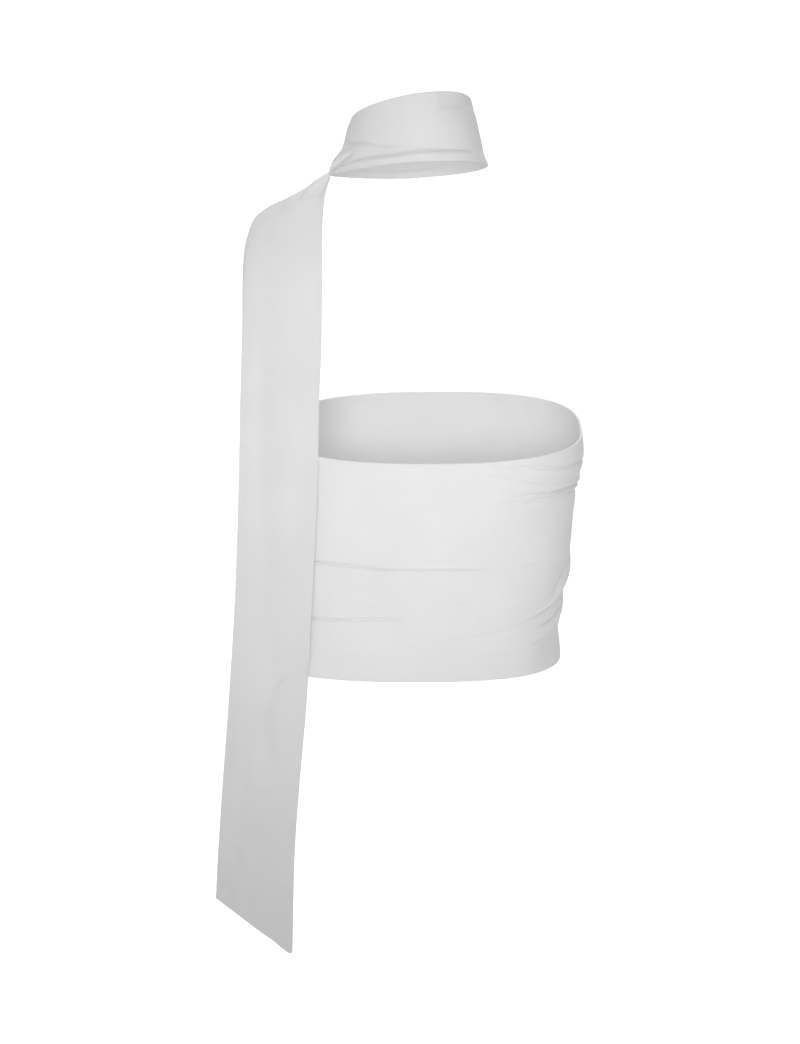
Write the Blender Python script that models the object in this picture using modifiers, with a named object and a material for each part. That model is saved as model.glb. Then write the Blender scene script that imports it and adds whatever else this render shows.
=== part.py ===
"""One-shoulder top: a stretch tube round the ribs and one long scarf that holds it up.

The scarf rises from the tube's front edge at the wearer's left, winds once round the neck
and falls from the left shoulder down the back. The wearer faces +Y, and the origin is the
middle of the neck wrap's lower opening. Sizes are in millimetres until a mesh is made.
"""

from collections import namedtuple

import bpy
import numpy as np

MM = 0.001
PANEL_WALL = 1.6
SCARF_WALL = 1.5
SEAM_GAP = 0.3
# A panel's inner corners lean this much further over its side seam than its outer ones.
CORNER_LEAN = 0.1
FULL_TURN = 360.0

# A closed section of cloth round the body. corners are how square its front-right, front-left,
# back-left and back-right corners are: 2 is an ellipse, more is fuller and less is pointed.
Ring = namedtuple("Ring", "x z half_width front_depth back_depth rise_to_front rise_to_right corners")

# The tube lies close to the ribs. Its top edge dips at the back, and its hem is nearly level.
TOP_EDGE = Ring(12.8, -225.8, 134.0, 105.0, 100.0, 0.115, 0.007, (2.8, 2.4, 2.3, 2.6))
HEM = Ring(-2.0, -428.9, 134.4, 97.0, 97.0, 0.010, 0.002, (2.6, 2.4, 2.3, 2.75))

# The neck wrap narrows upwards, sits higher on the nape than on the throat, and its lower edge
# is drawn out to a point at the left, where the scarf is pinched.
WRAP_TOP = Ring(0.0, 51.9, 50.8, 49.0, 49.0, -0.38, 0.159, (2.1, 2.0, 2.0, 2.1))
WRAP_FOOT = Ring(-2.6, -0.6, 68.5, 62.0, 62.0, -0.235, 0.062, (2.2, 1.4, 1.4, 2.2))

# The side seams, as angles from +X towards +Y, turned a little to the front.
RIGHT_SEAM = 5.0
LEFT_SEAM = 175.0

# Large soft folds of the tube. Each runs from one angle and share of the height to another, and
# stands out by its swell over its width, or sinks in where the swell is negative.
Fold = namedtuple("Fold", "from_angle to_angle from_share to_share width swell")
TUBE_FOLDS = (
    Fold(-66.0, 62.0, 0.955, 0.900, 11.0, 4.0),
    Fold(-64.0, 40.0, 0.805, 0.740, 8.0, -1.6),
    Fold(-40.0, 30.0, 0.225, 0.330, 9.0, 1.6),
    Fold(-34.0, 30.0, 0.120, 0.205, 9.0, -1.4),
    Fold(-140.0, -32.0, 0.535, 0.490, 8.0, -1.2),
    Fold(52.0, 150.0, 0.560, 0.500, 8.0, -1.2),
    Fold(28.0, 128.0, 0.790, 0.860, 9.0, -1.4),
)

# How far the wrap stands out of its plain cone, down its height from 0, the top, to 1, the foot,
# at its right, back, left and front.
Swell = namedtuple("Swell", "share right back left front")
WRAP_SWELLS = (
    Swell(0.0, 0.0, 0.2, 0.6, 0.2),
    Swell(0.1, -0.9, 1.5, 2.2, 1.2),
    Swell(0.2, -1.3, 0.2, 2.4, 0.4),
    Swell(0.3, -1.0, -0.6, 1.5, -0.4),
    Swell(0.4, -0.7, -0.1, 0.1, 0.1),
    Swell(0.6, -0.3, 0.7, -0.5, 0.8),
    Swell(0.8, 0.0, 0.5, 1.1, 0.5),
    Swell(1.0, 0.0, 0.0, 1.0, 0.0),
)

# The tail, from the pinch at the neck over the shoulder and down the back. outer is where the
# cloth turns over the shoulder's ridge, inner is its right-hand edge, and lip is how far it
# goes on past the ridge, down the front of the shoulder. belly is how far its middle stands out.
TailRow = namedtuple("TailRow", "outer inner lip belly")
TAIL_ROWS = (
    TailRow((-74.4, -4.8, -1.6), (-71.6, -9.0, -6.9), 1.0, 0.4),
    TailRow((-84.0, -9.0, -6.0), (-73.4, -18.0, -10.6), 4.0, 1.2),
    TailRow((-97.2, -11.0, -13.0), (-74.9, -29.0, -16.9), 8.0, 2.2),
    TailRow((-112.3, -13.0, -19.3), (-75.8, -39.0, -25.8), 11.0, 3.5),
    TailRow((-128.2, -15.0, -26.0), (-76.5, -47.0, -35.0), 12.0, 4.0),
    TailRow((-140.2, -19.0, -36.4), (-76.6, -54.0, -45.9), 11.5, 4.0),
    TailRow((-145.9, -26.0, -54.7), (-76.5, -60.0, -60.4), 9.5, 3.5),
    TailRow((-147.0, -35.0, -72.3), (-76.4, -65.0, -76.7), 6.5, 3.0),
    TailRow((-146.3, -45.0, -96.1), (-76.3, -70.0, -98.1), 3.5, 2.5),
    TailRow((-145.5, -52.0, -121.7), (-76.6, -73.5, -121.5), 1.5, 2.0),
    TailRow((-145.8, -57.0, -146.8), (-77.2, -76.0, -145.1), 0.3, 1.5),
    TailRow((-147.0, -63.0, -189.0), (-78.9, -79.5, -185.8), 0.0, 1.0),
    TailRow((-149.3, -69.0, -275.2), (-81.2, -82.5, -272.2), 0.0, 1.0),
    TailRow((-153.1, -72.0, -363.0), (-85.7, -84.0, -359.9), 0.0, 1.0),
    TailRow((-159.2, -74.0, -452.0), (-90.9, -86.0, -448.6), 0.0, 1.0),
    TailRow((-165.8, -75.0, -533.4), (-98.1, -87.0, -529.6), 0.0, 1.0),
    TailRow((-170.5, -75.0, -597.6), (-102.6, -85.0, -594.2), 0.0, 0.8),
    TailRow((-172.5, -75.0, -633.0), (-105.2, -83.0, -684.0), 0.0, 0.5),
)
LIP_TURN = np.array((0.25, 0.85, -0.45))
LIP_ROUNDING = 0.45

# The strap, from the tube's front edge up the chest to the same pinch. Its first row is the
# tube's own top edge between two angles; the rest go from the outer edge to the inner one.
STRAP_FROM_ANGLE = 172.0
STRAP_TO_ANGLE = 142.0
STRAP_LEAVING = 0.2
STRAP_LIFT = 0.35
StrapRow = namedtuple("StrapRow", "outer inner belly")
STRAP_ROWS = (
    StrapRow((-126.0, 20.0, -186.0), (-86.0, 77.0, -184.0), 11.0),
    StrapRow((-130.0, 20.0, -150.0), (-85.5, 75.0, -146.0), 8.0),
    StrapRow((-132.5, 15.0, -112.0), (-84.8, 68.0, -104.0), 7.0),
    StrapRow((-132.5, 4.0, -78.0), (-83.5, 56.0, -66.0), 6.5),
    StrapRow((-124.0, -5.0, -52.0), (-82.0, 42.0, -42.0), 6.0),
    StrapRow((-108.0, -5.5, -35.0), (-80.0, 29.0, -26.0), 4.5),
    StrapRow((-91.0, -3.0, -23.0), (-77.0, 18.0, -15.0), 2.5),
    StrapRow((-75.0, 1.5, -9.0), (-71.6, 6.8, -8.4), 0.5),
)

# The gathers that fan out of the pinch and fade down the cloth. They start flat, where the cloth
# is held tight.
GATHERS = 2.5
GATHER_DEPTH = 1.6
GATHER_START = 0.12
GATHER_REACH = 0.2

# How finely each piece is faceted, round or across it, and along it.
PANEL_GRID = (31, 16)
WRAP_GRID = (57, 12)
TAIL_GRID = (10, 52)
STRAP_GRID = (9, 26)


def ring_points(ring, angles):
    """Points of a ring at these angles in degrees: a superellipse on a sloping plane."""
    turn = np.radians(angles)
    across, along = np.cos(turn), np.sin(turn)
    front_right, front_left, back_left, back_right = ring.corners
    front = np.where(across >= 0, front_right, front_left)
    back = np.where(across >= 0, back_right, back_left)
    power = np.where(along >= 0, front, back)
    depth = np.where(along >= 0, ring.front_depth, ring.back_depth)
    reach = (np.abs(across / ring.half_width) ** power + np.abs(along / depth) ** power) ** (-1 / power)
    x, y = reach * across, reach * along
    z = ring.z + ring.rise_to_front * y + ring.rise_to_right * x
    return np.stack([ring.x + x, y, z], axis=-1)


def outwards(angles):
    """The level direction away from the body at each angle."""
    turn = np.radians(angles)
    return np.stack([np.cos(turn), np.sin(turn), np.zeros_like(turn)], axis=-1)


def between(low, high, share):
    """The straight blend of two rings' points."""
    return low + (high - low) * share[..., None]


def smooth(values, at):
    """A smooth curve through rows of values, read at places from 0 to 1 down the rows."""
    rows = np.asarray(values, float)
    place = np.clip(np.asarray(at), 0, 1) * (len(rows) - 1)
    first = np.minimum(place.astype(int), len(rows) - 2)
    part = (place - first).reshape(place.shape + (1,) * (rows.ndim - 1))
    ends = np.concatenate([[2 * rows[0] - rows[1]], rows, [2 * rows[-1] - rows[-2]]])
    before, low, high, after = (ends[first + step] for step in range(4))
    bend = 2 * before - 5 * low + 4 * high - after
    twist = -before + 3 * low - 3 * high + after
    return low + 0.5 * ((high - before) * part + bend * part**2 + twist * part**3)


def fold_swell(angles, shares, height):
    """How far the tube's folds push the cloth out at each angle and share of its height."""
    total = np.zeros_like(angles)
    for fold in TUBE_FOLDS:
        run = (angles - fold.from_angle) / (fold.to_angle - fold.from_angle)
        line = fold.from_share + (fold.to_share - fold.from_share) * run
        away = (shares - line) * height / fold.width
        fade = np.clip(4 * run * (1 - run), 0, 1) ** 0.75
        total += fold.swell * fade * np.exp(-(away**2))
    return total


def tube_points(angles, shares):
    """The tube's outer face at angles from -180 to 180 degrees and shares up its height."""
    height = TOP_EDGE.z - HEM.z
    plain = between(ring_points(HEM, angles), ring_points(TOP_EDGE, angles), shares)
    return plain + outwards(angles) * fold_swell(angles, shares, height)[..., None]


def wrap_points(angles, shares):
    """The neck wrap's outer face, with shares from 0 at its top to 1 at its foot."""
    plain = between(ring_points(WRAP_TOP, angles), ring_points(WRAP_FOOT, angles), shares)
    turn = np.radians(angles)
    rows = [row.share for row in WRAP_SWELLS]
    right, back, left, front = (
        np.interp(shares, rows, [getattr(row, side) for row in WRAP_SWELLS])
        for side in ("right", "back", "left", "front")
    )
    sideways = np.where(np.cos(turn) >= 0, right, left) * np.cos(turn) ** 2
    lengthways = np.where(np.sin(turn) >= 0, front, back) * np.sin(turn) ** 2
    return plain + outwards(angles) * (sideways + lengthways)[..., None]


def facing(first_side, second_side):
    """Unit normals of the surface that two directions span."""
    normal = np.cross(first_side, second_side)
    return normal / np.linalg.norm(normal, axis=-1, keepdims=True)


def gather(across, along):
    """Pleats side by side across the cloth, deepest a little way from the pinch."""
    depth = np.clip(along / GATHER_START, 0, 1) * np.exp(-((along / GATHER_REACH) ** 2))
    return GATHER_DEPTH * np.cos(2 * np.pi * GATHERS * across) * depth


def tail_points(across, along):
    """The tail: each section runs over a rounded ridge, from its lip to its inner edge."""
    outer = smooth([row.outer for row in TAIL_ROWS], along)
    inner = smooth([row.inner for row in TAIL_ROWS], along)
    lip = np.maximum(smooth([row.lip for row in TAIL_ROWS], along), 0)
    belly = smooth([row.belly for row in TAIL_ROWS], along)
    width = np.linalg.norm(inner - outer, axis=-1)
    side = (inner - outer) / width[..., None]
    reach = -lip + across * (width + lip)
    bend = np.hypot(reach, 2 * LIP_ROUNDING * lip)
    near_side, far_side = (bend + reach) / 2, (bend - reach) / 2
    turned = LIP_TURN / np.linalg.norm(LIP_TURN)
    out = facing(side, np.broadcast_to((0.0, 0.0, 1.0), side.shape))
    push = 4 * across * (1 - across) * belly + gather(across, along)
    return outer + side * near_side[..., None] + turned * far_side[..., None] + out * push[..., None]


def strap_points(across, along):
    """The strap: its foot is the tube's top edge, and its sections narrow to the pinch."""
    turn = STRAP_TO_ANGLE - STRAP_FROM_ANGLE
    lift = (0.0, 0.0, STRAP_LIFT)
    foot = ring_points(TOP_EDGE, STRAP_FROM_ANGLE + turn * across) + lift
    first, last = ring_points(TOP_EDGE, np.array((STRAP_FROM_ANGLE, STRAP_TO_ANGLE))) + lift
    outer = smooth([first] + [row.outer for row in STRAP_ROWS], along)
    inner = smooth([last] + [row.inner for row in STRAP_ROWS], along)
    belly = smooth([0.0] + [row.belly for row in STRAP_ROWS], along)
    out = facing(np.broadcast_to((0.0, 0.0, 1.0), outer.shape), inner - outer)
    push = 4 * across * (1 - across) * belly + 0.5 * gather(across, 1 - along)
    flat = outer + (inner - outer) * across[..., None] + out * push[..., None]
    curved = foot - (first + (last - first) * across[..., None])
    leaving = np.clip(1 - along / STRAP_LEAVING, 0, 1)[..., None] ** 2
    return flat + curved * leaving


def grid(across, along):
    """Two arrays of places, one column for each step across and one row for each step along."""
    return np.meshgrid(np.asarray(across), np.asarray(along), indexing="ij")


def cloth(name, points, wall, colour, closed=False):
    """A sheet of cloth through a grid of points, thickened inwards to its wall."""
    columns, rows = points.shape[:2]
    number = np.arange(columns * rows).reshape(columns, rows)
    ahead = np.roll(number, -1, axis=0) if closed else number[1:]
    behind = number if closed else number[:-1]
    corners = (behind[:, :-1], ahead[:, :-1], ahead[:, 1:], behind[:, 1:])
    faces = np.stack(corners, axis=-1).reshape(-1, 4)
    mesh = bpy.data.meshes.new(name)
    mesh.from_pydata((points.reshape(-1, 3) * MM).tolist(), [], faces.tolist())
    mesh.validate()
    mesh.shade_smooth()
    piece = bpy.data.objects.new(name, mesh)
    garment.objects.link(piece)
    thicken = piece.modifiers.new("wall", "SOLIDIFY")
    thicken.thickness = wall * MM
    thicken.offset = -1.0
    thicken.use_even_offset = True
    piece.data.materials.append(jersey(name, colour))
    return piece


def jersey(name, colour):
    """A matt fine-knit finish in this linear colour."""
    material = bpy.data.materials.new(name)
    material.use_nodes = True
    surface = material.node_tree.nodes["Principled BSDF"]
    surface.inputs["Base Color"].default_value = (*colour, 1.0)
    surface.inputs["Roughness"].default_value = 0.85
    surface.inputs["Metallic"].default_value = 0.0
    return material


def panel(name, from_angle, to_angle, colour):
    """Half of the tube between two side seams, each half a seam gap short of its seam."""
    side_gap = np.degrees((SEAM_GAP / 2 + CORNER_LEAN) / TOP_EDGE.half_width)
    angles = np.linspace(from_angle + side_gap, to_angle - side_gap, PANEL_GRID[0])
    shares = np.linspace(0.0, 1.0, PANEL_GRID[1])
    angle_grid, share_grid = grid(angles, shares)
    return cloth(name, tube_points(angle_grid, share_grid), PANEL_WALL, colour)


for leftover in list(bpy.data.objects):
    bpy.data.objects.remove(leftover)
garment = bpy.data.collections.new("one_shoulder_top")
bpy.context.scene.collection.children.link(garment)

WARM_WHITE = (0.80, 0.79, 0.78)
COOL_WHITE = (0.76, 0.76, 0.76)

panel("front_panel", RIGHT_SEAM, LEFT_SEAM, WARM_WHITE)
panel("back_panel", LEFT_SEAM - FULL_TURN, RIGHT_SEAM, WARM_WHITE)

round_neck = np.linspace(0.0, FULL_TURN, WRAP_GRID[0], endpoint=False)
wrap_angles, wrap_shares = grid(round_neck, np.linspace(1.0, 0.0, WRAP_GRID[1]))
cloth("scarf_wrap", wrap_points(wrap_angles, wrap_shares), SCARF_WALL, COOL_WHITE, closed=True)

tail_across, tail_along = grid(np.linspace(0, 1, TAIL_GRID[0]), np.linspace(1, 0, TAIL_GRID[1]))
cloth("scarf_tail", tail_points(tail_across, tail_along), SCARF_WALL, COOL_WHITE)

strap_across, strap_along = grid(np.linspace(1, 0, STRAP_GRID[0]), np.linspace(0, 1, STRAP_GRID[1]))
cloth("scarf_strap", strap_points(strap_across, strap_along), SCARF_WALL, COOL_WHITE)
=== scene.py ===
# %% [markdown]
# # A one-shoulder top, made of surfaces
#
# The garment is a tube of off-white stretch jersey worn round the ribs. One long scarf of the same
# cloth holds it up: it rises from the tube's front edge at the wearer's left, winds once round the
# neck and hangs from the left shoulder down the back. The wearer faces +Y, so the picture, which is
# taken from -Y, shows the back.
#
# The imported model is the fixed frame. Each of its five plain solids is replaced here by a sheet of
# cloth on the same form, fine enough for creases, turned edges and a knitted finish.

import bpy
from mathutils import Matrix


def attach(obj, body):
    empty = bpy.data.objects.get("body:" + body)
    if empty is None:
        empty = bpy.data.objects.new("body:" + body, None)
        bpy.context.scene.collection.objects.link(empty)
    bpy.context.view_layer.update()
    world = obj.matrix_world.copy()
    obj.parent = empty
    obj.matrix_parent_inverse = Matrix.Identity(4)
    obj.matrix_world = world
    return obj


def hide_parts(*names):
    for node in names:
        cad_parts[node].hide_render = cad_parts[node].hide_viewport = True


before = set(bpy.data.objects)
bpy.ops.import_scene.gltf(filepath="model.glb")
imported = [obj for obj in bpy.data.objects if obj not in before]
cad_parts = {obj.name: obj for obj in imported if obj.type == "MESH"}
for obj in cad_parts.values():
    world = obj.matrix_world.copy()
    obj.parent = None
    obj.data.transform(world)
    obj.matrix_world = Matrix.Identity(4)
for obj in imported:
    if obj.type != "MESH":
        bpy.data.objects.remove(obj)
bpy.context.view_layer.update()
print("packed nodes:", sorted(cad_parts))

# %% [markdown]
# ## The camera
#
# The picture was taken from behind, a little above the shoulders: the far side of the tube's top edge
# shows over the near side. A long lens from three metres keeps the outlines nearly parallel. The lens
# is worked out from how many millimetres one pixel covers at that distance. Places and distances are
# in metres here, and again for the floor and the lamps.

# %% The camera, first
import math
from collections import namedtuple

import bpy
import numpy as np

MM = 0.001
ELEVATION = 13.0
DISTANCE = 3.0
LOOKS_AT = (-0.0103, 0.0, -0.3105)
SENSOR = 36.0
PIXEL = 0.88 * MM
PHOTO_HEIGHT = 1044

camera_data = bpy.data.cameras.new("photo_camera")
camera_data.sensor_width = SENSOR
camera_data.lens = SENSOR * DISTANCE / (PIXEL * PHOTO_HEIGHT)
camera = bpy.data.objects.new("photo_camera", camera_data)
tilt = math.radians(ELEVATION)
camera.location = (LOOKS_AT[0], -DISTANCE * math.cos(tilt), LOOKS_AT[2] + DISTANCE * math.sin(tilt))
camera.rotation_euler = (math.radians(90.0) - tilt, 0.0, 0.0)
bpy.context.scene.collection.objects.link(camera)
bpy.context.scene.camera = camera
print(f"lens {camera_data.lens:.1f} mm")

# %% [markdown]
# ## A sheet of cloth
#
# Every piece is a sheet. Its outer face is a grid of points: one parameter runs across the cloth and
# the other up it, from 0 to 1. The sheet gets its body from two faces that stand half a wall either
# side of its middle. Near an open edge the two faces close in a half circle, as a turned edge does,
# so the mesh is closed and needs no modifier. The grid is crowded where creases are sharp. The cloth's
# sizes are in millimetres, and MM turns them to metres when a mesh is made.

# %% Places on a sheet
EDGE_STEPS = 4
FINE_STEPS = 2001


def crowded(count, spots=()):
    """count places from 0 to 1, up to `times` closer together round each spot (place, reach, times)."""
    fine = np.linspace(0, 1, FINE_STEPS)
    density = np.ones_like(fine)
    for place, reach, times in spots:
        density += (times - 1) * np.exp(-(((fine - place) / reach) ** 2))
    total = np.concatenate([[0], np.cumsum(density[1:] + density[:-1])])
    return np.interp(np.linspace(0, total[-1], count), total, fine)


def edged(places, length, radius):
    """The places moved one radius in from both ends, with a few more on each rounded edge."""
    turn = np.linspace(0, math.pi / 2, EDGE_STEPS, endpoint=False)
    margin = radius / length
    near = margin * (1 - np.cos(turn))
    return np.concatenate([near, margin + places * (1 - 2 * margin), 1 - near[::-1]])


def rounded(places, length, radius):
    """A quarter circle at both ends: 0 at the very edge, and 1 from one radius inwards."""
    depth = np.clip(np.minimum(places, 1 - places) * length / radius, 0, 1)
    return np.sqrt(1 - (1 - depth) ** 2)


def rounded_sheet(columns, width, rows, length, radius):
    """How full a sheet is: 0 along its four edges, and 1 from one radius inwards."""
    return rounded(columns, width, radius)[:, None] * rounded(rows, length, radius)


def smooth(values, at):
    """A Catmull-Rom curve through rows of values, read at places from 0 to 1 down the rows."""
    rows = np.asarray(values, float)
    place = np.asarray(at) * (len(rows) - 1)
    first = np.clip(place.astype(int), 0, len(rows) - 2)
    part = (place - first).reshape(place.shape + (1,) * (rows.ndim - 1))
    ends = np.concatenate([[2 * rows[0] - rows[1]], rows, [2 * rows[-1] - rows[-2]]])
    before, low, high, after = (ends[first + step] for step in range(4))
    bend = 2 * before - 5 * low + 4 * high - after
    twist = -before + 3 * low - 3 * high + after
    return low + 0.5 * ((high - before) * part + bend * part**2 + twist * part**3)


def soft_step(value):
    """0 below 0, 1 above 1, and an S-curve between."""
    value = np.clip(value, 0, 1)
    return value * value * (3 - 2 * value)


# %% From a grid of points to a closed sheet
def unit(vectors):
    """The vectors, each brought to length 1."""
    return vectors / np.linalg.norm(vectors, axis=-1, keepdims=True)


def facing(points, closed=False):
    """Unit normals of a grid: across times up, each from the points on either side."""
    if closed:
        across = np.roll(points, -1, axis=0) - np.roll(points, 1, axis=0)
    else:
        across = np.gradient(points, axis=0)
    return unit(np.cross(across, np.gradient(points, axis=1)))


def quads(number, closed):
    """The corner numbers of each face of a grid, anticlockwise from outside."""
    if closed:
        number = np.concatenate([number, number[:1]])
    corners = [number[:-1, :-1], number[1:, :-1], number[1:, 1:], number[:-1, 1:]]
    return np.stack(corners, axis=-1).reshape(-1, 4)


def cloth(name, outer, out, wall, fullness, texture, closed=False):
    """A closed sheet whose outer face, where fullness is 1, goes through the points of outer.

    The middle lies half a wall behind, along out. Both faces stand fullness times half a wall from
    it, and meet where fullness is 0. texture holds two grids: how far round the cloth and how far
    up it each point lies, in millimetres, with one more column where the sheet is closed.
    """
    half = (wall / 2) * fullness[..., None]
    middle = outer - out * (wall / 2)
    points = np.concatenate([(middle + out * half).reshape(-1, 3), (middle - out * half).reshape(-1, 3)])
    front = np.arange(fullness.size).reshape(fullness.shape)
    back = np.where(fullness > 0, front + fullness.size, front)
    faces = np.concatenate([quads(front, closed), quads(back, closed)[:, ::-1]])
    used, faces = np.unique(faces, return_inverse=True)
    faces = faces.reshape(-1, 4)
    corner = np.arange(texture[0].size).reshape(texture[0].shape)
    corners = np.concatenate([quads(corner, False), quads(corner, False)[:, ::-1]]).ravel()
    places = np.stack([texture[0].ravel()[corners], texture[1].ravel()[corners]], axis=-1) * MM

    mesh = bpy.data.meshes.new(name)
    mesh.from_pydata((points[used] * MM).tolist(), [], faces.tolist())
    mesh.uv_layers.new(name="cloth").data.foreach_set("uv", places.astype(np.float32).ravel())
    mesh.shade_smooth()
    piece = bpy.data.objects.new(name, mesh)
    bpy.context.scene.collection.objects.link(piece)
    print(f"{name}: {2 * len(faces)} triangles")
    return piece


# %% [markdown]
# ## Creases
#
# Thin stretch jersey creases in long soft lines. Each crease is one row: the line it follows, how far
# it pushes the cloth out (or in, if negative), how wide it is above and below its line, and how soon
# it fades in and out. A crease that is wide above and narrow below looks like cloth that slides down
# into a tuck. A crisp one comes to a thin dark line. A maker would call the whole set drag lines: most
# are drawn together at a side seam or at the pinch beside the neck.

# %% How far creases push the cloth
Crease = namedtuple("Crease", "line push above below start end crisp", defaults=(0.3, 0.3, 2.0))
LINE_STEPS = np.linspace(0, 1, 160)
FULL_TURN = 360.0


def crease_push(along, off, span, creases, scale=1.0):
    """The sum of all creases: each is a bell exp(-|distance / width| ** crisp) across its line.

    along is the coordinate that a line runs in, off the one across it, and span how many
    millimetres one unit of off is. scale shrinks widths and pushes where the cloth is gathered.
    """
    total = np.zeros(np.broadcast(along, off).shape)
    for crease in creases:
        route = smooth(crease.line, LINE_STEPS)
        line = np.interp(along, route[:, 0], route[:, 1])
        run = (along - route[0, 0]) / (route[-1, 0] - route[0, 0])
        away = (off - line) * span / scale
        width = np.where(away > 0, crease.above, crease.below)
        fade = soft_step(run / crease.start) * soft_step((1 - run) / crease.end)
        total += crease.push * scale * fade * np.exp(-(np.abs(away / width) ** crease.crisp))
    return total


def push_round(angle, height, span, creases):
    """The same on a closed ring, so that a crease shows wherever its angles come round again."""
    return sum(crease_push(angle + turn, height, span, creases) for turn in (-FULL_TURN, 0, FULL_TURN))


# %% [markdown]
# ## The jersey
#
# No knit can be made out in the picture, so the cloth is a guess: a fine single jersey of polyamide and
# elastane, knitted on a circular machine, with a matt face. In such a cloth columns of stitches, the
# wales, run up each piece about 0.6 mm apart. That is finer than a pixel here, so the wales are drawn
# 1.0 mm apart to show in a close view, and very low. What the eye sees from further off is a soft white
# with a faint cloudiness, and a slight bloom at the edges from the fine hairs, which the shader's sheen
# gives.

# %% Colour and nodes
WALE = 1.0
COURSE = 0.8
PANEL_HEX = "F1F1F1"
# The scarf is the same jersey as the panels, drawn a shade greyer: painted shade, so that the neck and the
# tail come out darker.
SCARF_SHADED_HEX = "E7E7E7"
COURSE_SHARE = 0.35
KNIT_HEIGHT = 0.04
CLOUDS_PER_METRE = 22.0
CLOUD_DARKEST = 0.975
CLOUD_LIGHTEST = 1.01


def linear(hexadecimal):
    """Linear red, green, blue and 1 from an sRGB hex colour."""
    srgb = np.array([int(hexadecimal[place:place + 2], 16) for place in (0, 2, 4)]) / 255
    value = np.where(srgb <= 0.04045, srgb / 12.92, ((srgb + 0.055) / 1.055) ** 2.4)
    return (*value.tolist(), 1.0)


def shade(colour, share):
    """The colour with its red, green and blue scaled by share."""
    return (*[channel * share for channel in colour[:3]], 1.0)


def add(tree, kind, settings=None, **links):
    """A new node of this kind: settings go on it or on its input sockets, links feed its sockets."""
    node = tree.nodes.new(kind)
    for name, value in (settings or {}).items():
        if isinstance(name, int) or name in node.inputs:
            node.inputs[name].default_value = value
        else:
            setattr(node, name, value)
    for name, output in links.items():
        key = int(name[1:]) if name[1:].isdigit() else name.replace("_", " ")
        tree.links.new(output, node.inputs[key])
    return node


# %% The knitted finish
def jersey(name, colour_hex):
    """Fine jersey: wales and courses as a low bump, a cloudy tone, and a matt, slightly hairy face."""
    material = bpy.data.materials.new(name)
    material.use_nodes = True
    tree = material.node_tree
    surface = tree.nodes["Principled BSDF"]
    colour = linear(colour_hex)

    place = add(tree, "ShaderNodeUVMap", {"uv_map": "cloth"}).outputs["UV"]
    split = add(tree, "ShaderNodeSeparateXYZ", _0=place)
    # One wale is one whole wave: sin(2 pi u / WALE). Courses are the same up the cloth, and lean
    # into a V on each wale, because a knitted stitch is two legs that meet.
    wale_turn = add(tree, "ShaderNodeMath", {"operation": "MULTIPLY", 1: 2 * math.pi / (WALE * MM)},
                    _0=split.outputs["X"]).outputs[0]
    wale = add(tree, "ShaderNodeMath", {"operation": "SINE"}, _0=wale_turn).outputs[0]
    course_turn = add(tree, "ShaderNodeMath", {"operation": "MULTIPLY_ADD", 1: 2 * math.pi / (COURSE * MM)},
                      _0=split.outputs["Y"], _2=wale).outputs[0]
    course = add(tree, "ShaderNodeMath", {"operation": "SINE"}, _0=course_turn).outputs[0]
    knit = add(tree, "ShaderNodeMath", {"operation": "MULTIPLY_ADD", 1: COURSE_SHARE},
               _0=course, _2=wale).outputs[0]
    bump = add(tree, "ShaderNodeBump", {"Strength": 0.25, "Distance": KNIT_HEIGHT * MM}, Height=knit)

    object_place = add(tree, "ShaderNodeTexCoord").outputs["Object"]
    cloud = add(tree, "ShaderNodeTexNoise", {"Scale": CLOUDS_PER_METRE, "Detail": 3.0, "Roughness": 0.55},
                Vector=object_place).outputs[0]
    tone = add(tree, "ShaderNodeMapRange", {"From Min": 0.3, "From Max": 0.7, "To Min": 0.0, "To Max": 1.0},
               Value=cloud).outputs[0]
    mixed = add(tree, "ShaderNodeMix", {"data_type": "RGBA"}, _0=tone)
    mixed.inputs[6].default_value = shade(colour, CLOUD_DARKEST)
    mixed.inputs[7].default_value = shade(colour, CLOUD_LIGHTEST)

    tree.links.new(mixed.outputs[2], surface.inputs["Base Color"])
    tree.links.new(bump.outputs["Normal"], surface.inputs["Normal"])
    surface.inputs["Roughness"].default_value = 0.82
    surface.inputs["IOR"].default_value = 1.45
    surface.inputs["Specular IOR Level"].default_value = 0.35
    surface.inputs["Sheen Weight"].default_value = 0.02
    surface.inputs["Sheen Roughness"].default_value = 0.5
    return material


panel_jersey = jersey("panel_jersey_matt", PANEL_HEX)
# The scarf's material is the panels' jersey with the greyer colour of painted shade.
scarf_jersey = jersey("scarf_jersey_matt_painted_shade", SCARF_SHADED_HEX)
print("materials:", panel_jersey.name, scarf_jersey.name)

# %% [markdown]
# ## The tube
#
# The real tube is taken to be two panels of doubled jersey, joined at the side seams, with its top and
# hem turned in, because no stitch shows. It is stretched round the ribs, so each level section is a
# closed curve between an ellipse and a rounded box: a superellipse. Two such rings, the top edge and the
# hem, give the form, and the cloth runs straight between them. The cloth of each panel hangs on this
# surface.

# %% Rings of the body
PANEL_WALL = 1.6
SEAM_GAP = 0.3
TOP_FULLNESS = 0.35
ROUND_STEPS = 200

# corners are how square the front-right, front-left, back-left and back-right corners are:
# 2 is an ellipse, more is fuller and less is pointed.
Ring = namedtuple("Ring", "x z half_width front_depth back_depth rise_to_front rise_to_right corners")
TOP_EDGE = Ring(12.8, -225.8, 134.0, 105.0, 100.0, 0.115, 0.007, (2.8, 2.4, 2.3, 2.6))
HEM = Ring(-2.0, -428.9, 134.4, 97.0, 97.0, 0.010, 0.002, (2.6, 2.4, 2.3, 2.75))
TUBE_HEIGHT = TOP_EDGE.z - HEM.z
RIGHT_SEAM = 5.0
LEFT_SEAM = 175.0


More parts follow.
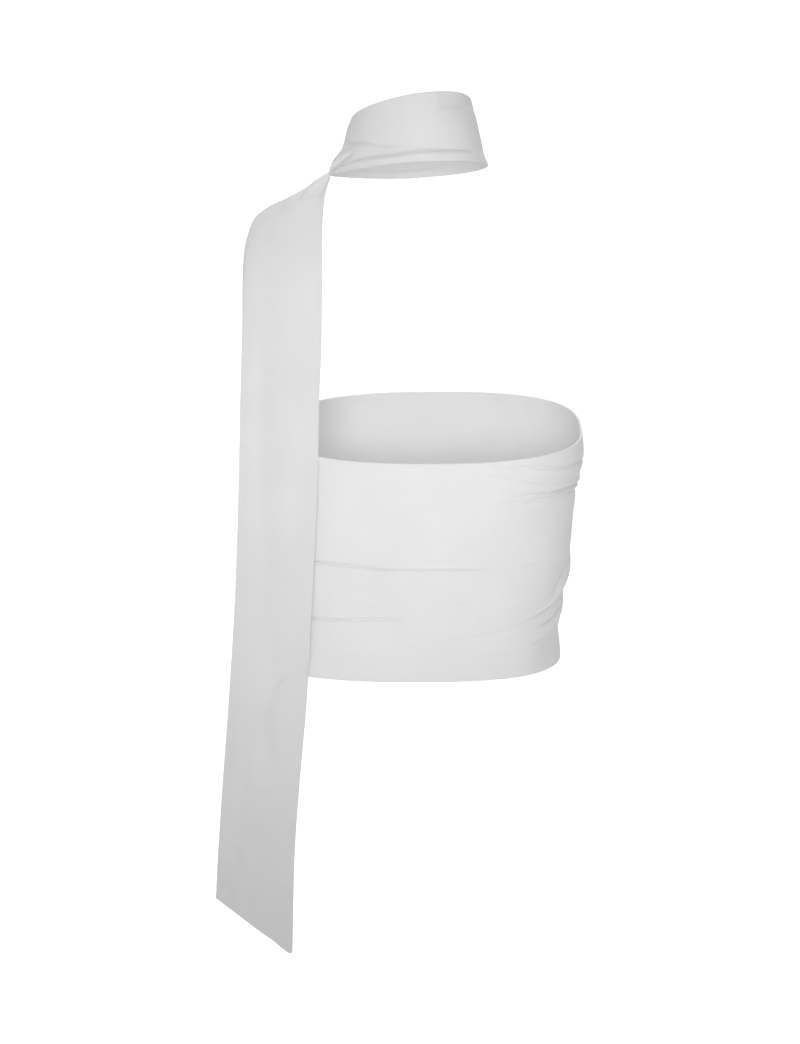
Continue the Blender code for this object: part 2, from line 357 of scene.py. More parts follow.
def ring_points(ring, angles):
    """A superellipse on a sloping plane: reach = (|cos/a|^n + |sin/b|^n)^(-1/n) at each angle."""
    turn = np.radians(angles)
    across, along = np.cos(turn), np.sin(turn)
    front_right, front_left, back_left, back_right = ring.corners
    front = np.where(across >= 0, front_right, front_left)
    back = np.where(across >= 0, back_right, back_left)
    power = np.where(along >= 0, front, back)
    depth = np.where(along >= 0, ring.front_depth, ring.back_depth)
    reach = (np.abs(across / ring.half_width) ** power + np.abs(along / depth) ** power) ** (-1 / power)
    x, y = reach * across, reach * along
    return np.stack([ring.x + x, y, ring.z + ring.rise_to_front * y + ring.rise_to_right * x], axis=-1)


def between(low, high, share):
    """The straight blend of two rings' points."""
    return low + (high - low) * share[..., None]


def round_the_ring(ring, angles):
    """How far round a ring each angle lies, in millimetres, from the first one."""
    steps = np.linalg.norm(np.diff(ring_points(ring, angles), axis=0), axis=-1)
    return np.concatenate([[0], np.cumsum(steps)])


hem_round = round_the_ring(HEM, np.linspace(0, FULL_TURN, ROUND_STEPS))[-1]
print(f"tube: {hem_round:.0f} mm round the hem, {TUBE_HEIGHT:.0f} mm high")

# %% [markdown]
# ### The tube's creases
#
# Lines are (angle, height) pairs: the angle goes round from the wearer's right (0) through the back
# (-90) to the left (-180), and the height is 0 at the hem and 1 at the top edge. Seen from behind,
# the cloth is drawn into pleats at the right side seam, near the top and again near the hem. Long
# shallow tucks cross the middle. The front, which the picture hides, gets creases of the same kind,
# and two drag lines that run up towards where the scarf pulls on the top edge.

# %% Tables of the tube's creases
UPPER_PLEATS = (
    Crease(((-58, .935), (-30, .905), (-6, .868), (16, .852), (62, .880)), 5.2, 27, 14.5, 0.50, 0.50, 2.8),
    Crease(((-62, .966), (-48, .963), (-41, .953), (-30, .925), (-22, .910), (-6, .884), (8, .850),
            (30, .82)), -3.2, 0.9, 1.3, 0.30, 0.50, 1.4),
    Crease(((-16, .868), (-9, .866), (-2, .860)), -1.8, 2.0, 7.0, 0.4, 0.3),
    Crease(((-84, .970), (-67, .965), (-57, .945), (-45, .902), (-35, .875), (-25, .853), (-8, .822),
            (12, .80)), -2.1, 4.5, 2.0, 0.35, 0.40),
    Crease(((-52, .852), (-38, .839), (-25, .829), (-8, .806), (12, .780)), 1.6, 3.2, 1.3, 0.35, 0.45),
    Crease(((-51, .836), (-44, .834), (-38, .828), (-32, .824), (-24, .816), (-10, .794), (4, .768),
            (30, .745)), -3.0, 0.8, 1.0, 0.20, 0.50, 1.4),
    Crease(((-48, .821), (-36, .818), (-25, .807), (-10, .782), (8, .752)), 1.5, 1.5, 1.7, 0.35, 0.40),
    Crease(((-70, .795), (-63, .799), (-56, .802), (-48, .805), (-40, .805), (-30, .796), (-18, .779),
            (0, .742), (26, .715)), -2.4, 0.8, 1.2, 0.40, 0.50, 1.4),
    Crease(((-70, .770), (-40, .765), (-10, .720), (20, .680)), 0.9, 6.0, 9.0, 0.45, 0.45),
)
LOWER_PLEATS = (
    Crease(((-46, .225), (-20, .262), (4, .300), (34, .340)), -4.4, 19, 20, 0.45, 0.45, 2.4),
    Crease(((-31, .322), (-25, .350), (-19, .395), (-12, .440), (-5, .505), (10, .560)),
           -2.4, 6.5, 2.4, .30, .45),
    Crease(((-42, .262), (-36, .275), (-30, .295), (-25, .314), (-19, .347), (-8, .400), (4, .460),
            (16, .520)), 2.4, 2.0, 1.4, 0.30, 0.45, 1.7),
    Crease(((-43, .246), (-39, .254), (-34, .268), (-28, .281), (-19, .300), (-6, .345), (14, .420)),
           -4.8, 0.9, 1.3, 0.20, 0.35, 1.4),
    Crease(((-33, .228), (-24, .248), (-14, .276), (0, .316)), 1.3, 2.0, 1.6, 0.30, 0.40),
    Crease(((-36, .204), (-33, .210), (-29, .217), (-25, .225), (-20, .238), (-8, .272), (6, .312),
            (28, .340)), -4.6, 0.8, 1.1, 0.12, 0.40, 1.4),
    Crease(((-39, .145), (-34, .154), (-30, .162), (-25, .183), (-20, .204), (-8, .242), (4, .270),
            (28, .290)), 2.2, 6.0, 0.9, 0.26, 0.50, 1.8),
    Crease(((-38, .138), (-34, .145), (-30, .153), (-25, .175), (-20, .196), (-8, .234), (4, .262),
            (28, .280)), -5.5, 0.9, 1.6, 0.16, 0.40, 1.4),
    Crease(((-38, .080), (-27, .100), (-14, .126), (6, .150), (36, .160)), -4.8, 12.0, 20.0, 0.22, 0.45),
)
BACK_TUCKS = (
    Crease(((-165, 1.0), (-120, 1.0), (-80, 1.0), (-52, 1.0)), -1.2, 5.0, 5.0, 0.12, 0.35),
    Crease(((-158, .956), (-120, .954), (-84, .958), (-64, .966)), -0.9, 2.0, 7.0, 0.30, 0.30),
    Crease(((-154, .522), (-137, .527), (-125, .530), (-112, .523), (-98, .518)),
           -3.0, 0.9, 1.0, 0.30, 0.25, 1.4),
    Crease(((-122, .524), (-99, .520), (-74, .521), (-62, .515), (-54, .508), (-45, .500)),
           -3.6, 10.0, 1.2, 0.30, 0.30, 1.15),
    Crease(((-57, .492), (-52, .497), (-47, .500), (-42, .505), (-35, .508)),
           -1.1, 1.4, 1.5, 0.30, 0.30, 1.4),
    Crease(((-154, .266), (-138, .272), (-129, .275), (-121, .283), (-108, .290), (-98, .290)),
           -3.0, 0.9, 1.0, 0.30, 0.20, 1.4),
    Crease(((-112, .291), (-97, .292), (-82, .281), (-66, .271)), -1.2, 5.5, 1.8, 0.35, 0.45, 1.3),
    Crease(((-146, .402), (-126, .408), (-112, .403), (-95, .391)), -0.8, 4.0, 3.0, 0.35, 0.35),
    Crease(((-138, .203), (-110, .205), (-88, .208)), -0.5, 3.5, 2.5),
    Crease(((-142, .139), (-119, .155), (-95, .152), (-78, .150)), -0.7, 3.0, 2.5),
    Crease(((-92, .186), (-68, .182), (-58, .197), (-51, .212), (-46, .222), (-38, .234)),
           -1.2, 3.0, 1.8, .45, .3),
    Crease(((-80, .338), (-68, .345), (-60, .352), (-52, .352), (-42, .360)), -0.9, 3.0, 1.8),
    Crease(((-77, .092), (-65, .103), (-58, .103), (-50, .110), (-43, .113), (-34, .112)),
           -1.2, 2.4, 1.5, .3, .3),
    Crease(((-54, .629), (-43, .624), (-32, .617)), -0.7, 3.0, 2.4),
    Crease(((-150, .700), (-110, .720), (-70, .700), (-30, .660)), -1.2, 22.0, 20.0, 0.4, 0.4),
)
LEFT_PLEATS = (
    Crease(((-206, .862), (-182, .846), (-158, .830)), -2.4, 4.0, 1.3, 0.4, 0.4, 1.4),
    Crease(((-200, .596), (-180, .590), (-152, .566)), -2.0, 5.0, 1.4, 0.4, 0.4, 1.5),
    Crease(((-208, .236), (-180, .252), (-154, .264)), -2.2, 4.5, 1.3, 0.4, 0.4, 1.4),
    Crease(((-214, .722), (-192, .735), (-170, .728)), 1.0, 5.0, 3.0, 0.4, 0.4),
)
FRONT_TUCKS = (
    Crease(((26, .602), (60, .585), (100, .560), (142, .500)), -2.4, 9.0, 1.4, 0.3, 0.35, 1.2),
    Crease(((18, .405), (46, .385), (78, .392)), -1.8, 3.0, 1.4, 0.3, 0.3, 1.5),
    Crease(((68, .276), (110, .262), (152, .286)), -2.0, 4.0, 1.4, 0.3, 0.3, 1.4),
    Crease(((26, .150), (60, .138), (97, .156)), -1.5, 3.0, 1.5, 0.3, 0.3, 1.5),
    Crease(((108, .128), (140, .146), (170, .140)), -1.1, 2.6, 1.8),
    Crease(((28, .730), (75, .750), (118, .742)), -1.2, 8.0, 5.0),
    Crease(((104, .560), (126, .640), (140, .740)), -1.3, 5.0, 2.0, 0.4, 0.4),
    Crease(((122, .520), (146, .620), (166, .760)), -1.3, 5.0, 2.0, 0.4, 0.4),
)
TUBE_CREASES = UPPER_PLEATS + LOWER_PLEATS + BACK_TUCKS + LEFT_PLEATS + FRONT_TUCKS
print("creases on the tube:", len(TUBE_CREASES))


# %% The two panels
TURNED_EDGE = 5.0
BACK_GRID = (148, 304)
FRONT_GRID = (190, 150)
BACK_ROWS = ((0.20, 0.10, 5.0), (0.28, 0.03, 3.0), (0.515, 0.02, 7.0), (0.83, 0.07, 6.0), (0.96, 0.03, 3.0))
BACK_COLUMNS = ((0.86, 0.12, 3.0),)


def panel(name, from_angle, to_angle, counts, row_spots=(), column_spots=()):
    """Half of the tube: the two rings' blend, pushed out along its own normals by the creases."""
    gap = np.degrees(SEAM_GAP / 2 / TOP_EDGE.half_width)
    round_length = round_the_ring(HEM, np.linspace(from_angle, to_angle, ROUND_STEPS))[-1]
    radius = PANEL_WALL / 2
    columns = edged(crowded(counts[0], column_spots), round_length, radius)
    rows = edged(crowded(counts[1], row_spots), TUBE_HEIGHT, radius)
    angles = from_angle + gap + columns * (to_angle - from_angle - 2 * gap)
    angle, height = np.meshgrid(angles, rows, indexing="ij")
    plain = between(ring_points(HEM, angle), ring_points(TOP_EDGE, angle), height)
    out = facing(plain)
    push = push_round(angle, height, TUBE_HEIGHT, TUBE_CREASES)
    turned = 1 + TOP_FULLNESS * np.exp(-(((1 - rows) * TUBE_HEIGHT / TURNED_EDGE) ** 2))
    fullness = rounded(columns, round_length, radius)[:, None] * (rounded(rows, TUBE_HEIGHT, radius) * turned)
    across, up = np.meshgrid(round_the_ring(HEM, angles), rows * TUBE_HEIGHT, indexing="ij")
    piece = cloth(name, plain + out * push[..., None], out, PANEL_WALL, fullness, (across, up))
    piece.data.materials.append(panel_jersey)
    return piece


front_panel = panel("front_panel_cloth", RIGHT_SEAM, LEFT_SEAM, FRONT_GRID)
back_panel = panel("back_panel_cloth", LEFT_SEAM - FULL_TURN, RIGHT_SEAM, BACK_GRID, BACK_ROWS, BACK_COLUMNS)

# %% [markdown]
# ## The scarf round the neck
#
# The scarf winds once round the neck as a band that narrows upwards. Its lower part has rolled over
# into a soft bead, and at the left its foot is drawn out to a point, the pinch, where the next stretch
# starts. As with the tube, two rings give the form: the lower one has pointed corners on the left. The
# creases fan out of the pinch and fade as they go round.

# %% The wrap's form and creases
SCARF_WALL = 1.5
WRAP_TOP = Ring(0.0, 51.9, 50.8, 49.0, 49.0, -0.38, 0.159, (2.1, 2.0, 2.0, 2.1))
WRAP_FOOT = Ring(-2.6, -0.6, 68.5, 62.0, 62.0, -0.235, 0.062, (2.2, 1.4, 1.4, 2.2))
WRAP_HEIGHT = 53.0
WRAP_GRID = (340, 110)
WRAP_COLUMNS = ((0.0, 0.07, 3.0), (1.0, 0.07, 3.0))
WRAP_ROWS = ((0.14, 0.14, 2.4),)

# How far the band stands out of its plain cone on each side, at even steps from foot to top.
WRAP_SWELL = {
    "right": (0.0, -0.9, -1.3, -1.0, -0.7, -0.5, -0.3, -0.2, 0.0, 0.0, 0.0),
    "back": (0.2, 1.5, 0.2, -0.6, -0.1, 0.4, 0.7, 0.7, 0.5, 0.3, 0.0),
    "left": (0.6, 2.2, 2.4, 1.5, 0.1, -0.9, -0.5, 0.3, 1.1, 1.3, 1.0),
    "front": (0.2, 1.2, 0.4, -0.4, 0.1, 0.5, 0.8, 0.7, 0.5, 0.2, 0.0),
}
WRAP_CREASES = (
    Crease(((-176, .56), (-163, .54), (-150, .480), (-139, .442), (-128, .385), (-118, .323), (-106, .290),
            (-86, .27)), -1.9, 3.4, 2.0, 0.30, 0.40, 1.6),
    Crease(((-170, .10), (-151, .130), (-141, .170), (-122, .176), (-105, .152), (-93, .174), (-80, .192),
            (-65, .199), (-49, .194), (-37, .208), (-20, .20), (8, .17)), -1.2, 5.0, 2.4, 0.20, 0.30, 1.6),
    Crease(((-78, .165), (-65, .167), (-45, .168), (-30, .172)), -1.2, 1.6, 1.5, 0.30, 0.30),
    Crease(((-176, .030), (-150, .080), (-118, .078), (-80, .090), (-40, .100), (-12, .090)),
           1.2, 3.2, 3.0, .1, .5),
    Crease(((-67, .80), (-56, .80), (-46, .81), (-20, .83), (6, .84)), -1.5, 9.0, 3.0, 0.12, 0.40),
    Crease(((-179, .060), (-170, .185), (-158, .290), (-145, .370)), 1.9, 1.4, 1.2, 0.20, 0.5, 1.6),
    Crease(((-180, .040), (-168, .135), (-157, .220), (-146, .275)), -2.8, 1.3, 1.4, 0.15, 0.5, 1.5),
    Crease(((-181, .030), (-166, .100), (-150, .118)), -2.0, 1.8, 1.5, 0.15, 0.5, 1.5),
    Crease(((-182, .120), (-172, .270), (-160, .390), (-150, .44)), -2.2, 1.5, 1.5, 0.25, 0.5, 1.5),
    Crease(((44, .200), (80, .176), (120, .160), (150, .150), (176, .075)), -1.3, 5.0, 2.4, 0.3, 0.2, 1.6),
    Crease(((40, .090), (90, .100), (140, .095), (178, .030)), 1.0, 4.0, 4.0, 0.3, 0.1),
    Crease(((96, .420), (130, .392), (156, .300), (180, .060)), -1.4, 3.0, 2.0, 0.5, 0.1, 1.6),
    Crease(((110, .620), (140, .560), (164, .380), (181, .090)), -1.2, 3.6, 2.2, 0.5, 0.1),
    Crease(((20, .640), (56, .610), (92, .640)), -1.2, 5.0, 2.2),
)


def side_weights(angles):
    """The share of each side of the neck at each angle: squared cosines and sines, which sum to 1."""
    across, along = np.cos(np.radians(angles)), np.sin(np.radians(angles))
    sides = {"right": across, "back": -along, "left": -across, "front": along}
    return {side: np.maximum(lean, 0) ** 2 for side, lean in sides.items()}


# %% The wrap's cloth
wrap_places = crowded(WRAP_GRID[0] + 1, WRAP_COLUMNS)
wrap_rows = edged(crowded(WRAP_GRID[1], WRAP_ROWS), WRAP_HEIGHT, SCARF_WALL / 2)
wrap_angles = -FULL_TURN / 2 + wrap_places * FULL_TURN
angle, height = np.meshgrid(wrap_angles[:-1], wrap_rows, indexing="ij")
plain = between(ring_points(WRAP_FOOT, angle), ring_points(WRAP_TOP, angle), height)
out = facing(plain, closed=True)
push = sum(share * smooth(WRAP_SWELL[side], height) for side, share in side_weights(angle).items())
push += push_round(angle, height, WRAP_HEIGHT, WRAP_CREASES)
fullness = np.ones_like(angle) * rounded(wrap_rows, WRAP_HEIGHT, SCARF_WALL / 2)
texture = np.meshgrid(round_the_ring(WRAP_FOOT, wrap_angles), wrap_rows * WRAP_HEIGHT, indexing="ij")
pushed = plain + out * push[..., None]
wrap = cloth("scarf_wrap_cloth", pushed, out, SCARF_WALL, fullness, texture, closed=True)
wrap.data.materials.append(scarf_jersey)

# %% [markdown]
# ## The tail
#
# From the pinch the scarf fans out over the shoulder and falls down the back, and it keeps the
# shape that it takes there. A table of sections gives its outer line, where the cloth turns over
# the shoulder's ridge, and its inner edge. Each section runs over the ridge as one branch of a
# hyperbola, which is straight on both sides and round at the top.

# %% The tail's sections
TAIL_LENGTH = 690.0
TAIL_GRID = (84, 470)
TAIL_CROWDING = ((0.09, 0.09, 1.6), (0.955, 0.04, 2.6))
TailRow = namedtuple("TailRow", "outer inner lip belly")
TAIL_ROWS = (
    TailRow((-71.6, -5.0, -0.4), (-69.5, -9.0, -4.9), 1.0, 0.4),
    TailRow((-83.6, -9.0, -5.7), (-72.2, -18.0, -9.8), 4.0, 1.2),
    TailRow((-97.2, -11.0, -13.0), (-74.7, -29.0, -16.9), 8.0, 2.2),
    TailRow((-112.3, -13.0, -19.3), (-75.8, -39.0, -25.8), 11.0, 3.5),
    TailRow((-128.2, -15.0, -26.0), (-76.5, -47.0, -35.0), 12.0, 4.0),
    TailRow((-140.2, -19.0, -36.4), (-76.6, -54.0, -45.9), 11.5, 4.0),
    TailRow((-145.9, -26.0, -54.7), (-76.5, -60.0, -60.4), 9.5, 3.5),
    TailRow((-147.0, -35.0, -72.3), (-76.4, -65.0, -76.7), 6.5, 3.0),
    TailRow((-146.3, -45.0, -96.1), (-76.3, -70.0, -98.1), 3.5, 2.5),
    TailRow((-145.5, -52.0, -121.7), (-76.6, -73.5, -121.5), 1.5, 2.0),
    TailRow((-145.8, -57.0, -146.8), (-77.2, -76.0, -145.1), 0.3, 1.5),
    TailRow((-147.0, -63.0, -189.0), (-78.9, -79.5, -185.8), 0.0, 1.0),
    TailRow((-149.3, -69.0, -275.2), (-81.2, -82.5, -272.2), 0.0, 1.0),
    TailRow((-153.1, -72.0, -363.0), (-85.7, -84.0, -359.9), 0.0, 1.0),
    TailRow((-159.2, -74.0, -452.0), (-90.9, -86.0, -448.6), 0.0, 1.0),
    TailRow((-165.8, -75.0, -533.4), (-98.1, -87.0, -529.6), 0.0, 1.0),
    TailRow((-170.5, -75.0, -597.6), (-102.6, -85.0, -594.2), 0.0, 0.8),
    TailRow((-172.5, -75.0, -633.0), (-105.2, -83.0, -684.0), 0.0, 0.5),
)
LIP_TURN = np.array((0.25, 0.85, -0.45))
LIP_ROUNDING = 0.45
FULL_WIDTH = 66.0
LEAST_GATHERED = 0.12

# Pleats run up the tail: each line is (height, place across), from the tip (0) to the pinch (1).
TAIL_PLEATS = (
    Crease(((.950, .73), (.966, .754), (.977, .78), (.989, .79), (1.01, .78)),
           -12.0, 9.0, 11.0, 0.55, 0.01, 1.6),
    Crease(((.950, .36), (.966, .45), (.977, .50), (.989, .55), (1.01, .58)), -8.0, 11.0, 9.0, 0.5, 0.01),
    Crease(((.946, .50), (.951, .465), (.959, .375), (.966, .31), (.976, .25), (.99, .22)),
           -9.0, 3.8, 5.0, 0.20, 0.45, 1.5),
    Crease(((.880, .16), (.905, .22), (.930, .26), (.955, .28), (.975, .28)), -2.3, 10.0, 7.0, 0.45, 0.4),
    Crease(((.915, .36), (.928, .38), (.942, .36)), -2.1, 7.0, 7.0, 0.4, 0.4),
    Crease(((.855, .42), (.877, .41), (.892, .40), (.91, .38)), -1.1, 8.0, 8.0, 0.4, 0.4),
    Crease(((.80, .86), (.825, .91), (.86, .88)), -1.3, 7.0, 6.0, 0.4, 0.4),
    Crease(((.79, .26), (.83, .30), (.87, .24)), -1.0, 8.0, 8.0, 0.4, 0.4),
    Crease(((.46, .34), (.56, .28), (.66, .26), (.74, .27), (.80, .22)), -2.2, 10.0, 7.0, 0.3, 0.3),
    Crease(((.34, .40), (.42, .34), (.50, .40), (.58, .44)), -1.7, 9.0, 9.0, 0.35, 0.35),
    Crease(((.18, .64), (.221, .60), (.247, .52), (.279, .46), (.315, .52), (.36, .52), (.42, .46)),
           -2.4, 8.0, 9.0, 0.25, 0.35),
    Crease(((.20, .13), (.25, .13), (.29, .14), (.33, .13)), 0.8, 4.0, 4.0, 0.4, 0.4),
    Crease(((.120, .20), (.145, .23), (.175, .27), (.195, .26), (.215, .24)), -1.8, 8.0, 5.0, 0.35, 0.35),
    Crease(((.38, .80), (.48, .74), (.58, .80), (.70, .76)), -1.5, 10.0, 8.0, 0.4, 0.4),
    Crease(((.010, .56), (.030, .585), (.049, .60), (.064, .60)), 1.7, 9.0, 9.0, 0.35, 0.3),
    Crease(((-.01, .70), (.012, .76), (.024, .80), (.045, .78)), -1.7, 8.0, 7.0, 0.2, 0.4),
    Crease(((.944, .56), (.960, .60), (.976, .62), (.990, .62)), -4.4, 4.6, 6.5, 0.45, 0.12),
    Crease(((.950, .72), (.964, .74), (.978, .75), (.990, .75)), -4.4, 4.4, 6.0, 0.45, 0.12),
    Crease(((.940, .86), (.958, .88), (.976, .88), (.990, .88)), -3.4, 4.0, 5.6, 0.50, 0.12),
)
# Wrinkles run across it: each line is (place across, height).
TAIL_WRINKLES = (
    Crease(((.46, .308), (.60, .327), (.74, .340), (.90, .342), (1.0, .341)), -1.9, 9.0, 3.2, 0.4, 0.1, 1.5),
    Crease(((.30, .168), (.44, .174), (.60, .170)), -1.2, 8.0, 6.0, 0.4, 0.4),
    Crease(((.22, .108), (.34, .113), (.43, .117), (.54, .126), (.68, .136), (.80, .158)),
           1.3, 6.0, 5.0, 0.4, 0.4),
    Crease(((.06, .104), (.16, .100), (.26, .100), (.36, .102)), -2.3, 8.0, 7.0, 0.4, 0.4),
    Crease(((.26, .082), (.40, .086), (.56, .084)), 1.0, 8.0, 6.0, 0.4, 0.4),
    Crease(((.26, .060), (.34, .062), (.46, .067), (.58, .071), (.68, .072), (.77, .066), (.84, .061)),
           -1.6, 3.2, 2.0, 0.3, 0.35, 1.5),
    Crease(((-.02, .034), (.13, .028), (.28, .030)), -2.3, 11.0, 11.0, 0.4, 0.4),
    Crease(((.78, .062), (.90, .056), (1.0, .058)), -1.2, 7.0, 7.0, 0.4, 0.2),
    Crease(((.30, .440), (.52, .452), (.80, .446)), -1.2, 12.0, 8.0, 0.4, 0.4),
    Crease(((.10, .600), (.36, .612), (.60, .606)), -1.0, 12.0, 9.0, 0.4, 0.4),
)
TIP_ROUNDING = 4.0
print("tail:", len(TAIL_ROWS), "sections,", len(TAIL_PLEATS), "pleats,", len(TAIL_WRINKLES), "wrinkles")


def along_rows(rows, down):
    """Where among the rows, from 0 to 1, each share of the length down the cloth's middle falls."""
    middles = np.array([np.add(row.outer, row.inner) / 2 for row in rows])
    reached = np.concatenate([[0], np.cumsum(np.linalg.norm(np.diff(middles, axis=0), axis=-1))])
    return np.interp(down, reached / reached[-1], np.linspace(0, 1, len(rows)))


def bow(across, belly):
    """A parabola over the cloth's width: 0 at both edges, and belly in the middle."""
    return (4 * across * (1 - across) * belly)[..., None]


def tail_surface(across, up):
    """The tail without creases, and its width: sections over a rounded ridge, lip to inner edge.

    On a section the distances along its two slopes have one product, as on a hyperbola. Beside the
    inner corner of the end the cloth starts higher, along a quarter circle.
    """
    past_corner = np.clip(1 - (1 - across) * FULL_WIDTH / TIP_ROUNDING, 0, 1)
    lift = TIP_ROUNDING * (1 - np.sqrt(1 - past_corner**2)) / TAIL_LENGTH
    down = along_rows(TAIL_ROWS, 1 - (lift + up * (1 - lift)))
    outer, inner = (smooth([getattr(row, side) for row in TAIL_ROWS], down) for side in ("outer", "inner"))
    lip = np.maximum(smooth([row.lip for row in TAIL_ROWS], down), 0)
    belly = smooth([row.belly for row in TAIL_ROWS], down)
    width = np.linalg.norm(inner - outer, axis=-1)
    side = (inner - outer) / width[..., None]
    reach = -lip + across * (width + lip)
    bend = np.hypot(reach, 2 * LIP_ROUNDING * lip)
    near_side, far_side = (bend + reach) / 2, (bend - reach) / 2
    level = unit(np.cross(side, (0.0, 0.0, 1.0)))
    points = outer + side * near_side[..., None] + unit(LIP_TURN) * far_side[..., None]
    return points + level * bow(across, belly), width


# %% The tail's cloth
def stretch_of_scarf(name, surface, length, grid, pleats, wrinkles=(), crowding=(), side=1):
    """An open stretch of the scarf: its surface, pushed out along its own normals by the creases.

    Where the cloth is gathered, its pleats shrink with its width. side is -1 where the columns run
    the other way, which keeps the faces outwards.
    """
    columns = edged(crowded(grid[0]), FULL_WIDTH, SCARF_WALL / 2)
    rows = edged(crowded(grid[1], crowding), length, SCARF_WALL / 2)
    across, up = np.meshgrid(columns[::side], rows, indexing="ij")
    plain, width = surface(across, up)
    out = facing(plain)
    gathered = np.clip(width / FULL_WIDTH, LEAST_GATHERED, 1)
    push = crease_push(up, across, width, pleats, gathered) + crease_push(across, up, length, wrinkles)
    fullness = rounded_sheet(columns, FULL_WIDTH, rows, length, SCARF_WALL / 2)
    texture = (side * (across - 0.5) * width, up * length)
    piece = cloth(name, plain + out * push[..., None], out, SCARF_WALL, fullness, texture)
    piece.data.materials.append(scarf_jersey)
    return piece


tail = stretch_of_scarf("scarf_tail_cloth", tail_surface, TAIL_LENGTH, TAIL_GRID, TAIL_PLEATS,
                        TAIL_WRINKLES, TAIL_CROWDING)

# %% [markdown]
# ## The strap
#
# The picture hides the first stretch of the scarf behind the tail. It must be there, because nothing
# else holds the tube up: it is sewn to the front top edge at the wearer's left and rises to the pinch.
# It is finished as plainly as the rest, with gathers at both ends where it is drawn in.

# %% The strap's sections
STRAP_LENGTH = 225.0
STRAP_GRID = (84, 190)
STRAP_FROM_ANGLE = 172.0
STRAP_TO_ANGLE = 142.0
STRAP_LEAVING = 0.2
StrapRow = namedtuple("StrapRow", "outer inner belly")
STRAP_ROWS = (
    StrapRow((-126.0, 20.0, -186.0), (-86.0, 77.0, -184.0), 11.0),
    StrapRow((-130.0, 20.0, -150.0), (-85.5, 75.0, -146.0), 8.0),
    StrapRow((-132.5, 15.0, -112.0), (-84.8, 68.0, -104.0), 7.0),
    StrapRow((-132.5, 4.0, -78.0), (-83.5, 56.0, -66.0), 6.5),
    StrapRow((-124.0, -5.0, -52.0), (-82.0, 42.0, -42.0), 6.0),
    StrapRow((-108.0, -5.5, -35.0), (-80.0, 29.0, -26.0), 4.5),
    StrapRow((-91.0, -3.0, -23.0), (-77.0, 18.0, -15.0), 2.5),
    StrapRow((-73.6, 0.2, -6.2), (-70.8, 4.8, -5.4), 0.5),
)
STRAP_PLEATS = (
    Crease(((-.02, .30), (.12, .27), (.30, .24)), -0.9, 4.0, 3.0, 0.1, 0.7),
    Crease(((-.02, .58), (.14, .60), (.36, .66)), -1.1, 4.0, 3.0, 0.1, 0.7),
    Crease(((-.02, .82), (.10, .80), (.24, .76)), -0.7, 3.0, 3.0, 0.1, 0.7),
    Crease(((.46, .34), (.66, .28), (.86, .36), (1.01, .42)), -1.8, 5.0, 5.0, 0.6, 0.01),
    Crease(((.56, .72), (.74, .70), (.90, .62), (1.01, .60)), -1.8, 5.0, 5.0, 0.6, 0.01),
    Crease(((.50, .52), (.72, .50), (.90, .50), (1.01, .50)), 1.4, 5.0, 5.0, 0.6, 0.01),
)


def strap_surface(across, up):
    """The strap without creases, and its width: bowed across, between an outer and an inner curve.

    Its foot is the tube's own top edge, whose curve fades out over the first part of the strap.
    """
    turn = STRAP_TO_ANGLE - STRAP_FROM_ANGLE
    lift = (0.0, 0.0, SEAM_GAP)
    foot = ring_points(TOP_EDGE, STRAP_FROM_ANGLE + turn * across) + lift
    first, last = ring_points(TOP_EDGE, np.array((STRAP_FROM_ANGLE, STRAP_TO_ANGLE))) + lift
    outer = smooth([first] + [row.outer for row in STRAP_ROWS], up)
    inner = smooth([last] + [row.inner for row in STRAP_ROWS], up)
    belly = smooth([0.0] + [row.belly for row in STRAP_ROWS], up)
    level = unit(np.cross((0.0, 0.0, 1.0), inner - outer))
    flat = outer + (inner - outer) * across[..., None] + level * bow(across, belly)
    curved = foot - (first + (last - first) * across[..., None])
    leaving = np.clip(1 - up / STRAP_LEAVING, 0, 1)[..., None] ** 2
    return flat + curved * leaving, np.linalg.norm(inner - outer, axis=-1)


# %% The strap's cloth
strap = stretch_of_scarf("scarf_strap_cloth", strap_surface, STRAP_LENGTH, STRAP_GRID, STRAP_PLEATS, side=-1)

# %% [markdown]
# ## What each piece stands for
#
# Each sheet rides on the garment's one body and replaces its plain solid. A flat size ought to be the
# one that the cloth is cut to, and those of the scarf, one strip of which each stretch is a part, are
# guesses at that. The two panels are given at their worn sizes instead: they would be cut smaller and
# stretched on, but the picture gives no stretch to work a cut size out from.

# %% Riding, replacing and flat sizes
Cut = namedtuple("Cut", "piece node slot width length held")
CUTS = (
    Cut(front_panel, "front_panel", "panel_jersey", 0.375, 0.207, "stretched"),
    Cut(back_panel, "back_panel", "panel_jersey", 0.400, 0.200, "stretched"),
    Cut(wrap, "scarf_wrap", "scarf_jersey", 0.370, 0.055, "gathered"),
    Cut(tail, "scarf_tail", "scarf_jersey", 0.069, 0.700, "hung"),
    Cut(strap, "scarf_strap", "scarf_jersey", 0.068, 0.240, "gathered"),
)
for cut in CUTS:
    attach(cut.piece, "root")
    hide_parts(cut.node)

# %% [markdown]
# ## Floor, light and background
#
# The garment floats at the height it is worn, with a plain white floor where the wearer's feet would
# be. The room is white and softly lit from all round. The wall behind is about four times as bright at
# its middle, as for a cut-out, so that it sends light into the hollow of the tube. Three soft lamps
# with grids do the rest. A high one on the camera's side points at the back and shades the underside of
# each crease. A low one lights the shoulder, the neck and the inside of the scarf. The third hangs
# high behind the garment and shines down into the tube. Cloth that turns away to the sides, and the
# tail's far end, get darker.

# %% The floor
FLOOR_HEIGHT = -1.4
FLOOR_REACH = 60.0

